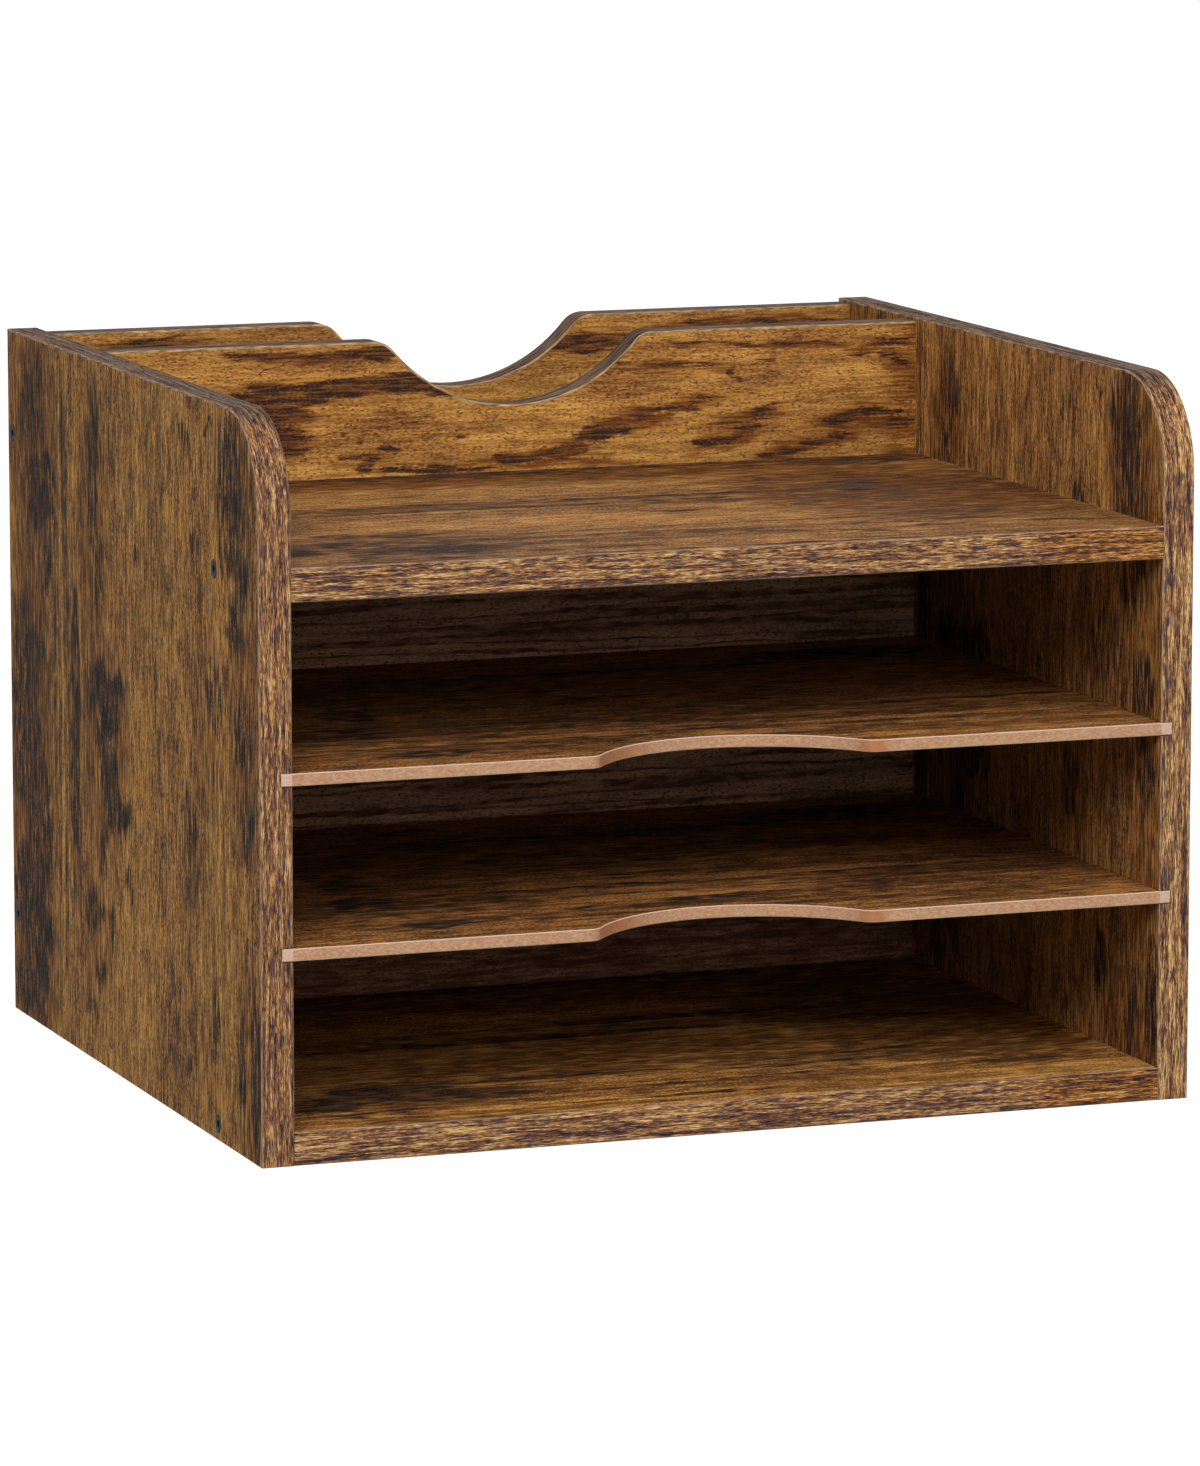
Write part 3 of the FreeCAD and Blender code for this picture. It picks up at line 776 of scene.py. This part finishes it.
class Sheets(Enum):
    """The rustic prints on the boards."""

    UPRIGHT = Print(
        tones=Tones(
            pale=paint(220, 168, 92),
            ochre=paint(182, 130, 67),
            brown=paint(136, 93, 52),
            umber=paint(50, 37, 27),
            russet=paint(78, 55, 38),
            burnt=paint(24, 25, 27),
            wash_and_shade=paint(184, 166, 154),
        ),
        seed=1.0,
        coarse=1.45,
        stipple=1.2,
        scratch=0.72,
        char=(0.22, 0.58),
        fibre=0.50,
        dash=0.64,
        nick=0.8,
        nick_length=7.0,
        nick_width=1.0,
        nick_rise=0.20,
        thread=3.4,
        thread_reach=0.28,
        marks=(
            # Scorched block near the rear edge
            Mark(207, 121, 15, 9, 1.0), Mark(216, 112, 6, 20, 0.95), Mark(204, 106, 9, 11, 0.8),
            Mark(210, 97, 9, 3, 0.55), Mark(236, 128, 14, 16, 0.6), Mark(252, 114, 14, 4, 0.62),
            Mark(180, 106, 14, 5, 0.7),
            # Smoky rear edge, below
            Mark(145, 132, 18, 22, 0.55), Mark(122, 140, 16, 22, 0.6), Mark(103, 135, 22, 24, 0.58),
            Mark(90, 109, 9, 4, 0.95), Mark(74, 118, 18, 20, 0.6), Mark(50, 130, 22, 26, 0.7),
            Mark(40, 112, 16, 9, 0.8), Mark(20, 118, 10, 10, 0.9), Mark(12, 136, 12, 22, 0.7),
            # Dark column
            Mark(150, 69, 30, 4.5, 0.62), Mark(100, 70, 24, 7, 0.68),
            # Torn patch in the middle
            Mark(143, 40, 11, 14, 0.9), Mark(145, 20, 7, 18, 0.85), Mark(132, 28, 12, 14, 0.9),
            Mark(113, 27, 14, 11, 1.0), Mark(100, 20, 9, 15, 0.85), Mark(100, 5, 8, 7, 0.6),
            Mark(83, 33, 12, 7, 0.6), Mark(74, 0, 6, 5, 0.6), Mark(56, 46, 7, 12, 0.65),
            Mark(54, 24, 8, 5, 0.6), Mark(33, 38, 6, 8, 0.5), Mark(19, 52, 4, 8, 0.5),
            # Smudges above it
            Mark(238, 42, 15, 10, 0.62), Mark(212, 45, 20, 7, 0.56), Mark(185, 38, 22, 6, 0.54),
            Mark(196, -10, 4, 4, 0.6),
            # Dark top front corner
            Mark(240, -125, 24, 15, 0.66), Mark(215, -122, 12, 9, 0.55),
            Mark(205, -138, 22, 7, 0.6), Mark(187, -128, 9, 8, 0.55), Mark(256, -100, 1.5, 5, 0.9),
            Mark(250, -70, 6, 6, 0.5), Mark(213, -82, 5, 6, 0.5),
            # Front edge
            Mark(160, -105, 14, 14, 0.42), Mark(150, -140, 12, 12, 0.6),
            Mark(118, -145, 14, 9, 0.58), Mark(108, -76, 12, 8, 0.52), Mark(40, -104, 16, 6, 0.6),
            Mark(30, -135, 22, 5, 0.6), Mark(28, -152, 30, 6, 0.7), Mark(20, -72, 4, 4, 0.6),
        ),
        washes_and_shade=(
            Mark(225, 128, 50, 34, 0.8), Mark(100, 136, 100, 38, 1.0), Mark(30, 130, 44, 36, 1.0),
            Mark(200, 45, 60, 22, 0.6), Mark(120, 30, 50, 32, 0.65), Mark(50, 45, 30, 28, 0.5),
            Mark(120, 70, 70, 9, 0.65), Mark(235, -130, 35, 26, 0.65), Mark(160, -140, 60, 22, 0.6),
            Mark(150, -100, 40, 24, 0.45), Mark(30, -145, 45, 16, 0.6), Mark(25, -100, 22, 20, 0.4),
            Mark(100, -75, 35, 16, 0.35),
        ),
        combs=(
            Mark(140, 80, 150, 24, 1.0), Mark(235, -135, 40, 25, 0.7), Mark(90, -115, 60, 40, 0.4),
            Mark(210, -10, 50, 50, 0.4), Mark(200, 115, 60, 30, 0.45),
        ),
    )
    # The right panel: a warmer, finer part of the print, with paler darks that are painted light
    # standing in for the light bounced onto its inner face
    UPRIGHT_WARM_BOUNCE_LIT = replace(
        UPRIGHT,
        tones=Tones(
            pale=paint(224, 166, 94),
            ochre=paint(186, 130, 70),
            brown=paint(142, 96, 56),
            umber=paint(63, 46, 36),
            russet=paint(84, 59, 43),
            burnt=paint(33, 30, 30),
            wash_and_shade=paint(196, 182, 174),
        ),
        coarse=0.85,
        nick_width=0.75,
        char=(0.25, 0.72),
        washes_and_shade=UPRIGHT.washes_and_shade + (
            Mark(100, -150, 110, 18, 0.65), Mark(22, -128, 26, 30, 0.8),
        ),
    )
    GOLDEN = Print(
        tones=Tones(
            pale=paint(230, 178, 96),
            ochre=paint(199, 145, 73),
            brown=paint(160, 108, 56),
            umber=paint(94, 59, 36),
            russet=paint(110, 66, 38),
            burnt=paint(52, 40, 34),
            wash_and_shade=paint(184, 156, 140),
        ),
        # Greyer wood behind the trays: partly a browner print, partly painted shade
        below=Wood(
            pale=paint(218, 172, 136),
            ochre=paint(194, 150, 117),
            brown=paint(166, 127, 99),
            umber=paint(104, 78, 61),
        ),
        seed=4.0,
        russet=0.8,
        halo=0.45,
        mottle=0.42,
        fibre=0.18,
        dash=0.36,
        nick=0.75,
        nick_length=1.3,
        nick_width=0.65,
        nick_rise=0.40,
        rag=0.4,
        stipple=1.3,
        scratch=0.7,
        char=(0.30, 0.80),
        marks=(
            # Dark streaks left of the scoop
            Mark(-100, 259.5, 16, 1.8, 0.8), Mark(-65, 259, 20, 2.2, 0.85),
            Mark(-52, 257, 6, 2.2, 0.8), Mark(-45, 246.5, 15, 4.0, 1.0),
            Mark(-64, 246, 24, 3.2, 0.9), Mark(-94, 244, 24, 3.4, 0.75),
            Mark(-30, 242.5, 7, 2, 0.85), Mark(-98, 236, 16, 5.5, 0.85), Mark(-96, 226, 14, 7, 1.0),
            Mark(-104, 230, 12, 10, 0.8), Mark(-97, 254.5, 5, 0.35, 0.8, 28),
            # Flecks below the scoop
            Mark(-64.5, 225.3, 2.4, 1.4, 0.85), Mark(-52, 221.5, 5, 2.2, 0.7),
            Mark(-61, 216, 5.5, 2.8, 0.8), Mark(-66, 220, 5, 1.2, 0.5),
            Mark(-18, 226, 3, 0.9, 0.75), Mark(-45, 232, 1.2, 0.6, 0.7),
            Mark(-23, 229.5, 1.2, 0.6, 0.7), Mark(-40, 214, 14, 2.2, 0.65),
            Mark(-20, 212.5, 14, 1.6, 0.6), Mark(2, 216, 9, 2.4, 0.8),
            # Three waves that climb to the right
            Mark(20, 218, 16, 3, 0.65, 10), Mark(33, 225, 12, 2.8, 1.0, 4),
            Mark(53, 231.5, 8, 2.2, 0.8, 14), Mark(66, 233.5, 9, 1.6, 0.6, 5),
            Mark(77, 236.5, 6, 1.4, 0.5, 10), Mark(78, 218.5, 6, 2, 0.85),
            Mark(88, 221, 8, 2.5, 0.7, 18), Mark(95, 225, 8, 3, 0.5, 20),
            Mark(102, 231, 12, 2, 0.45, 12), Mark(112, 213.5, 14, 1.6, 0.6, 4),
            Mark(126, 218, 8, 2.6, 0.7, 22), Mark(136, 226.5, 9, 2.8, 0.85, 10),
            Mark(150, 228, 14, 1.8, 0.65), Mark(160, 224, 8, 2.2, 0.55),
            # Thin streaks near the top edge
            Mark(50, 251.5, 10, 1.4, 0.38, -4), Mark(70, 249.5, 18, 1.6, 0.34, -3),
            Mark(92, 245, 3, 3, 0.5), Mark(75, 258, 14, 1.0, 0.62, -4),
            Mark(98, 256.5, 14, 1.2, 0.62), Mark(122, 256.5, 14, 0.8, 0.6, -3),
            Mark(155, 255, 10, 1.8, 0.5), Mark(157, 251, 5, 1.6, 0.6), Mark(160, 247, 3, 1.4, 0.85),
            Mark(104, 249.4, 6, 0.45, 0.95, 1), Mark(144, 250.7, 6, 0.55, 0.95, 2),
        ),
        washes_and_shade=(
            Mark(-85, 245, 36, 5, 0.7), Mark(-98, 230, 17, 11, 0.9), Mark(-80, 258.5, 36, 2.6, 0.7),
            Mark(-15, 214, 60, 3, 0.8), Mark(-60, 218, 11, 4, 0.6), Mark(20, 219, 22, 4, 0.85, 10),
            Mark(45, 228, 26, 4.5, 0.95, 12), Mark(72, 235, 14, 3, 0.65, 8),
            Mark(86, 220, 16, 4.5, 0.95, 15), Mark(100, 229, 18, 4, 0.65, 14),
            Mark(118, 216, 22, 4, 0.85, 12), Mark(140, 226, 22, 5, 0.95, 8),
            Mark(160, 225, 12, 6, 0.75), Mark(70, 248, 30, 4, 0.4, -4),
            Mark(95, 256.5, 45, 1.4, 0.4, -2), Mark(150, 254, 20, 3.5, 0.7),
            # Painted shade at the right end, in the corner by the right panel, over darker wood; then a
            # wash darker toward the bottom
            Mark(166, 232, 14, 40, 0.66), Mark(0, 30, 400, 34, 0.6),
        ),
        combs=(
            Mark(0, 100, 400, 100, 0.9),
        ),
    )
    REAR_GOLDEN = replace(
        GOLDEN,
        below=None,
        seed=7.0,
        cloud=0.5,
        combs=(),
        marks=(
            # Above the divider
            Mark(55, 251.5, 17, 4.2, 0.95), Mark(-120, 258, 24, 2.0, 0.6),
            Mark(130, 257, 30, 1.6, 0.55), Mark(100, 259, 6, 0.8, 0.85),
            # Long streaks down to the desk
            Mark(-110, 197, 50, 4, 0.75, 2), Mark(-60, 203, 36, 2.5, 0.7, 3),
            Mark(95, 178, 60, 4, 0.75, -2), Mark(140, 170, 26, 6, 0.7),
            Mark(-10, 150, 70, 3.5, 0.75, 2), Mark(50, 158, 34, 2.5, 0.65, 3),
            Mark(-128, 116, 40, 8, 0.75), Mark(-80, 106, 40, 3, 0.7), Mark(80, 92, 70, 5, 0.75, -2),
            Mark(130, 82, 30, 7, 0.7), Mark(-40, 58, 60, 3.5, 0.7, 2), Mark(-110, 34, 50, 7, 0.75),
            Mark(40, 26, 80, 3.5, 0.7, -1),
        ),
        washes_and_shade=(
            Mark(55, 252, 26, 6, 0.7), Mark(120, 257, 40, 4, 0.6), Mark(-90, 199, 80, 11, 0.8, 3),
            Mark(108, 175, 80, 11, 0.8, -3), Mark(0, 153, 110, 9, 0.75, 2),
            Mark(-118, 111, 70, 18, 0.8), Mark(95, 88, 90, 14, 0.8, -2),
            Mark(-70, 46, 100, 16, 0.75, 2), Mark(60, 28, 110, 10, 0.7),
        ),
    )
    LEVEL = Print(
        tones=Tones(
            pale=paint(212, 158, 90),
            ochre=paint(176, 124, 68),
            brown=paint(136, 92, 52),
            umber=paint(66, 46, 33),
            russet=paint(90, 62, 43),
            burnt=paint(42, 36, 34),
            wash_and_shade=paint(172, 155, 147),
        ),
        seed=11.0,
        coarse=2.6,
        halo=0.5,
        thread=12.0,
        thread_reach=0.38,
        fibre=0.32,
        dash=0.60,
        dash_length=1.2,
        stipple=1.0,
        scratch=0.75,
        char=(0.28, 0.68),
        cloud=0.3,
        marks=(
            # Charred corner near the left front
            Mark(-100, -127, 30, 13, 1.0), Mark(-152, -122, 10, 10, 1.0),
            Mark(-132, -108, 8, 10, 0.6), Mark(-118, -120, 20, 3, 0.7), Mark(-125, -82, 8, 7, 0.55),
            Mark(-102, -87, 10, 6, 0.75), Mark(-133, -135, 4, 14, 0.6),
            # Long dark grain
            Mark(-45, -141.5, 26, 3, 0.85), Mark(-110, -150, 45, 1.6, 0.62),
            Mark(0, -154, 150, 1.6, 0.55), Mark(-60, -108, 80, 2, 0.55),
            Mark(32, -122, 14, 3, 0.7, -12), Mark(60, -130, 16, 2.2, 0.6, -14),
            Mark(80, -114, 20, 2, 0.55, -10), Mark(115, -112, 18, 2.2, 0.6, -14),
            Mark(140, -126, 18, 3.5, 0.7, -8), Mark(20, -55, 16, 3, 0.45),
            Mark(-40, -26, 100, 3, 0.6), Mark(-70, -10, 60, 3, 0.55), Mark(25, -13, 50, 3.5, 0.58),
            Mark(35, -30, 30, 3, 0.45),
            # Smudges, and painted shade along the rear where the deck meets the divider and the right
            # panel
            Mark(108, -2, 14, 12, 0.5), Mark(105, -20, 14, 4, 0.6), Mark(0, 72, 160, 7, 0.5),
            Mark(140, 64, 34, 14, 0.5),
        ),
        washes_and_shade=(
            Mark(-110, -110, 50, 40, 0.5), Mark(-40, -18, 120, 14, 0.5),
            # Painted shade: the right part of the deck in the right panel's shadow, and the rear by the
            # divider
            Mark(115, -25, 62, 90, 0.95), Mark(0, 66, 170, 34, 0.95),
        ),
        combs=(
            Mark(0, -110, 170, 30, 0.8), Mark(0, -20, 170, 24, 0.6), Mark(0, -150, 170, 12, 0.6),
        ),
    )
    LEVEL_LOWER = replace(
        LEVEL,
        tones=Tones(
            pale=paint(250, 190, 102),
            ochre=paint(214, 152, 78),
            brown=paint(166, 110, 56),
            umber=paint(84, 54, 34),
            russet=paint(96, 62, 40),
            burnt=paint(44, 37, 34),
            wash_and_shade=paint(158, 152, 150),
        ),
        marks=(
            # Charred patch near the left front, with a tail
            Mark(-112, -104, 26, 20, 0.72), Mark(-100, -110, 20, 9, 1.0),
            Mark(-140, -118, 16, 12, 0.8), Mark(-154, -108, 12, 16, 0.7),
            Mark(-78, -118, 16, 6, 0.85), Mark(-128, -136, 20, 5, 0.6),
            # Long dark grain
            Mark(-60, -96, 60, 3, 0.55), Mark(10, -122, 60, 2.5, 0.55, 2),
            Mark(50, -104, 40, 3, 0.6, 3), Mark(70, -90, 60, 3, 0.5, 3),
            Mark(120, -126, 24, 3.5, 0.6, -4), Mark(-20, -142, 60, 1.8, 0.5),
            # Shade toward the rear
            Mark(-40, -26, 100, 6, 0.6), Mark(40, -4, 80, 6, 0.55), Mark(105, -30, 24, 8, 0.55),
            Mark(0, 72, 160, 7, 0.5),
        ),
        washes_and_shade=LEVEL.washes_and_shade + (
            Mark(20, -68, 180, 32, 0.72), Mark(136, -92, 30, 48, 0.75),
            Mark(-100, -152, 60, 7, 0.5),
        ),
    )
    SHELF = Print(
        tones=Tones(
            pale=paint(212, 148, 82),
            ochre=paint(174, 116, 62),
            brown=paint(132, 86, 47),
            umber=paint(64, 44, 31),
            russet=paint(90, 60, 42),
            burnt=paint(42, 36, 34),
            # Cool grey, for the washes and for the painted shade toward the rear
            wash_and_shade=paint(180, 181, 186),
        ),
        seed=17.0,
        coarse=2.6,
        halo=0.5,
        thread=12.0,
        thread_reach=0.38,
        fibre=0.32,
        dash=0.60,
        dash_length=1.2,
        cloud=0.45,
        marks=(
            # Smoky patches and long dark grain
            Mark(-116, -84, 13, 15, 0.62), Mark(-108, -40, 12, 20, 0.5), Mark(-30, -76, 60, 3, 0.5),
            Mark(100, -76, 60, 2.5, 0.55), Mark(20, -63, 50, 2, 0.45), Mark(0, -30, 50, 2, 0.4),
            Mark(-105, -132, 20, 10, 0.48), Mark(10, -112, 24, 6, 0.42),
            Mark(-40, -118, 16, 5, 0.4), Mark(20, 30, 90, 4, 0.5), Mark(120, 45, 40, 16, 0.6),
        ),
        washes_and_shade=(
            Mark(-100, -100, 60, 40, 0.6), Mark(60, -90, 90, 16, 0.5), Mark(120, -138, 60, 12, 0.5),
            # Painted shade: darker toward the rear, under the board above
            Mark(0, 0, 200, 50, 0.6),
        ),
        combs=(
            Mark(0, -100, 170, 60, 0.8),
        ),
    )
    SHELF_LOWER = replace(
        SHELF,
        seed=31.0,
        washes_and_shade=SHELF.washes_and_shade + (
            Mark(30, -120, 80, 12, 0.5),
        ),
    )


@dataclass
class Carcass:
    """The six laminated boards of the organizer."""

    side_lay: Lay = Lay(Axis.UP, Axis.RIGHT, -1)
    upright_lay: Lay = Lay(Axis.RIGHT, Axis.REAR, -1)
    level_lay: Lay = Lay(Axis.RIGHT, Axis.UP, 1)

    def dress(self) -> None:
        """Give each board its print."""
        boards = {
            "left_side_panel": (self.side_lay, Sheets.UPRIGHT),
            "right_side_panel": (self.side_lay, Sheets.UPRIGHT_WARM_BOUNCE_LIT),
            "file_divider": (self.upright_lay, Sheets.GOLDEN),
            "rear_panel": (self.upright_lay, Sheets.REAR_GOLDEN),
            "deck_panel": (self.level_lay, Sheets.LEVEL),
            "bottom_panel": (self.level_lay, Sheets.LEVEL_LOWER),
        }
        for node, (lay, sheet) in boards.items():
            coat(node, Laminate.on_board(f"laminate_{node}", node, lay, sheet).material())


@dataclass
class EdgeBands:
    """The banding on the boards' open edges."""

    left_lift: float = -0.03
    right_lift: float = 0.04
    warm_from: float = 0.118
    seed_step: float = 3.7

    def dress(self) -> None:
        """Give each band its printed dashes, along its own run."""
        round_corner = (0.0, 1.0, 1.0)
        bands = {
            "left_front_band": Banding(round_corner, RIGHT, lift=self.left_lift),
            "right_front_band": Banding(round_corner, RIGHT, lift=self.right_lift),
            "left_rear_band": Banding(round_corner, RIGHT),
            "right_rear_band": Banding(round_corner, RIGHT),
            "deck_band": Banding(RIGHT, UP, warm_from=self.warm_from),
            "bottom_band": Banding(RIGHT, UP, warm_from=self.warm_from),
            "divider_band": Banding(RIGHT, REAR, Trims.SCOOPED),
            "rear_band": Banding(RIGHT, REAR, Trims.SCOOPED),
        }
        for number, (node, band) in enumerate(bands.items()):
            coat(node, band.material(f"banding_{node}", self.seed_step * number))


@dataclass
class PaperShelves:
    """The two thin shelves that slide in the sides' grooves."""

    lay: Lay = Lay(Axis.RIGHT, Axis.UP, 1)

    def dress(self) -> None:
        """Give each shelf its printed faces and raw edges."""
        for node, sheet in (("upper_shelf", Sheets.SHELF), ("lower_shelf", Sheets.SHELF_LOWER)):
            coat(node, ShelfBoard.on_board(f"board_{node}", node, self.lay, sheet).material())


@dataclass
class Fasteners:
    """The screws and the hidden dowels."""

    def dress(self) -> None:
        """Blacken the screws and leave the dowels raw."""
        steel, beech = BlackSteel().material(), Beech().material()
        for side in ("left", "right"):
            coat(f"{side}_screws", steel)
            coat(f"{side}_dowels", beech)


def coat(node: str, material: bpy.types.Material) -> None:
    """Put one material all over a piece and report it.

    Args:
        node: The piece's name.
        material: Its finish.
    """
    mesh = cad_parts[node].data
    mesh.materials.clear()
    mesh.materials.append(material)
    log.info("%s: %s", node, material.name)


@dataclass(frozen=True)
class Lamp:
    """A soft lamp: where it hangs, its width and height, and its strength in watts."""

    name: str
    place: Triple
    size: tuple[float, float]
    power: float


@dataclass
class Studio:
    """A pale floor, soft lamps and the camera."""

    floor_reach: float = 30.0
    floor_drop: float = 0.0002
    floor_lift: float = 0.88
    floor_grey: Colour = paint(172, 172, 172)
    white: Colour = paint(255, 255, 255)
    ambient: float = 0.26
    lamps: tuple[Lamp, ...] = (
        Lamp("key_lamp", (-1.8, -2.7, 2.5), (2.0, 2.0), 96.0),
        Lamp("fill_lamp", (1.4, -2.9, 2.1), (2.0, 2.0), 34.0),
        Lamp("front_lamp", (0.2, -3.2, 0.9), (1.6, 1.2), 7.0),
        Lamp("rear_lamp", (0.6, 2.0, 3.0), (2.4, 1.8), 12.0),
    )
    lamp_aim: Triple = (0.0, 0.0, 0.13)
    camera_place: Triple = (-0.9785, -2.68255, 0.5727)
    camera_turn: float = -20.162
    camera_rise: float = 8.980
    lens: float = 189.47
    sensor: float = 36.0
    sight: float = 100.0

    def build(self) -> None:
        """Set up the floor, the world, the lamps and the camera."""
        self.lay_floor()
        self.light_world()
        for lamp in self.lamps:
            self.hang_lamp(lamp)
        self.set_camera()
        bpy.context.scene.view_settings.view_transform = "Standard"

    def lay_floor(self) -> None:
        """Lay the pale floor, lifted to white for the eye and keeping the organizer's shadow."""
        reach, low = self.floor_reach, -self.floor_drop
        signs = ((-1, -1), (1, -1), (1, 1), (-1, 1))
        corners = [(reach * right, reach * rear, low) for right, rear in signs]
        mesh = bpy.data.meshes.new("floor")
        mesh.from_pydata(corners, [], [(0, 1, 2, 3)])
        floor = bpy.data.objects.new("floor", mesh)
        bpy.context.scene.collection.objects.link(floor)
        graph = Graph.for_material("pale_floor")
        matt = graph.node("ShaderNodeBsdfDiffuse", inputs={"Color": self.floor_grey})
        glowing = {"Color": self.white, "Strength": self.floor_lift}
        glow = graph.node("ShaderNodeEmission", inputs=glowing)
        lit = graph.node("ShaderNodeAddShader", inputs={0: matt, 1: glow})
        graph.close(graph.node("ShaderNodeMixShader", inputs={0: self.seen(graph), 1: matt, 2: lit}))
        mesh.materials.append(graph.owner)

    @staticmethod
    def seen(graph: Graph) -> Wire:
        """Give 1 where the eye, or a gloss or glass in front of it, looks, and 0 for stray light."""
        eye = graph.node("ShaderNodeLightPath", output="Is Camera Ray")
        gloss = graph.node("ShaderNodeLightPath", output="Is Glossy Ray")
        glass = graph.node("ShaderNodeLightPath", output="Is Transmission Ray")
        return eye.at_least(gloss).at_least(glass)

    def light_world(self) -> None:
        """Light the room evenly and show it white to the eye."""
        world = bpy.data.worlds.new("studio")
        bpy.context.scene.world = world
        graph = Graph(world)
        dim, bright = (
            graph.node("ShaderNodeBackground", inputs={"Color": self.white, "Strength": strength})
            for strength in (self.ambient, 1.0)
        )
        sky = graph.node("ShaderNodeMixShader", inputs={0: self.seen(graph), 1: dim, 2: bright})
        graph.close(sky, "ShaderNodeOutputWorld")

    def hang_lamp(self, lamp: Lamp) -> None:
        """Hang a soft lamp that points at the organizer.

        Args:
            lamp: The lamp.
        """
        light = bpy.data.lights.new(lamp.name, "AREA")
        light.shape = "RECTANGLE"
        light.size, light.size_y = lamp.size
        light.energy = lamp.power
        hung = bpy.data.objects.new(lamp.name, light)
        aim = Vector(self.lamp_aim) - Vector(lamp.place)
        turn = aim.to_track_quat("-Z", "Y").to_matrix().to_4x4()
        hung.matrix_world = Matrix.Translation(lamp.place) @ turn
        bpy.context.scene.collection.objects.link(hung)

    def set_camera(self) -> None:
        """Stand the camera where the photograph was taken from."""
        camera = bpy.data.cameras.new("camera")
        camera.lens = self.lens
        camera.sensor_width = self.sensor
        camera.sensor_fit = "AUTO"
        camera.clip_end = self.sight
        stand = bpy.data.objects.new("camera", camera)
        turn, rise = math.radians(self.camera_turn), math.radians(self.camera_rise)
        level = math.cos(rise)
        back = Vector((math.sin(turn) * level, -math.cos(turn) * level, math.sin(rise)))
        look = (-back).to_track_quat("-Z", "Y").to_matrix().to_4x4()
        stand.matrix_world = Matrix.Translation(self.camera_place) @ look
        bpy.context.scene.collection.objects.link(stand)
        bpy.context.scene.camera = stand


def main() -> None:
    """Dress the organizer piece by piece and set up the studio."""
    logging.basicConfig(level=logging.INFO, format="%(name)s %(message)s")
    for assembly in (Carcass(), EdgeBands(), PaperShelves(), Fasteners()):
        assembly.dress()
    Studio().build()


if __name__ == "__main__":
    main()
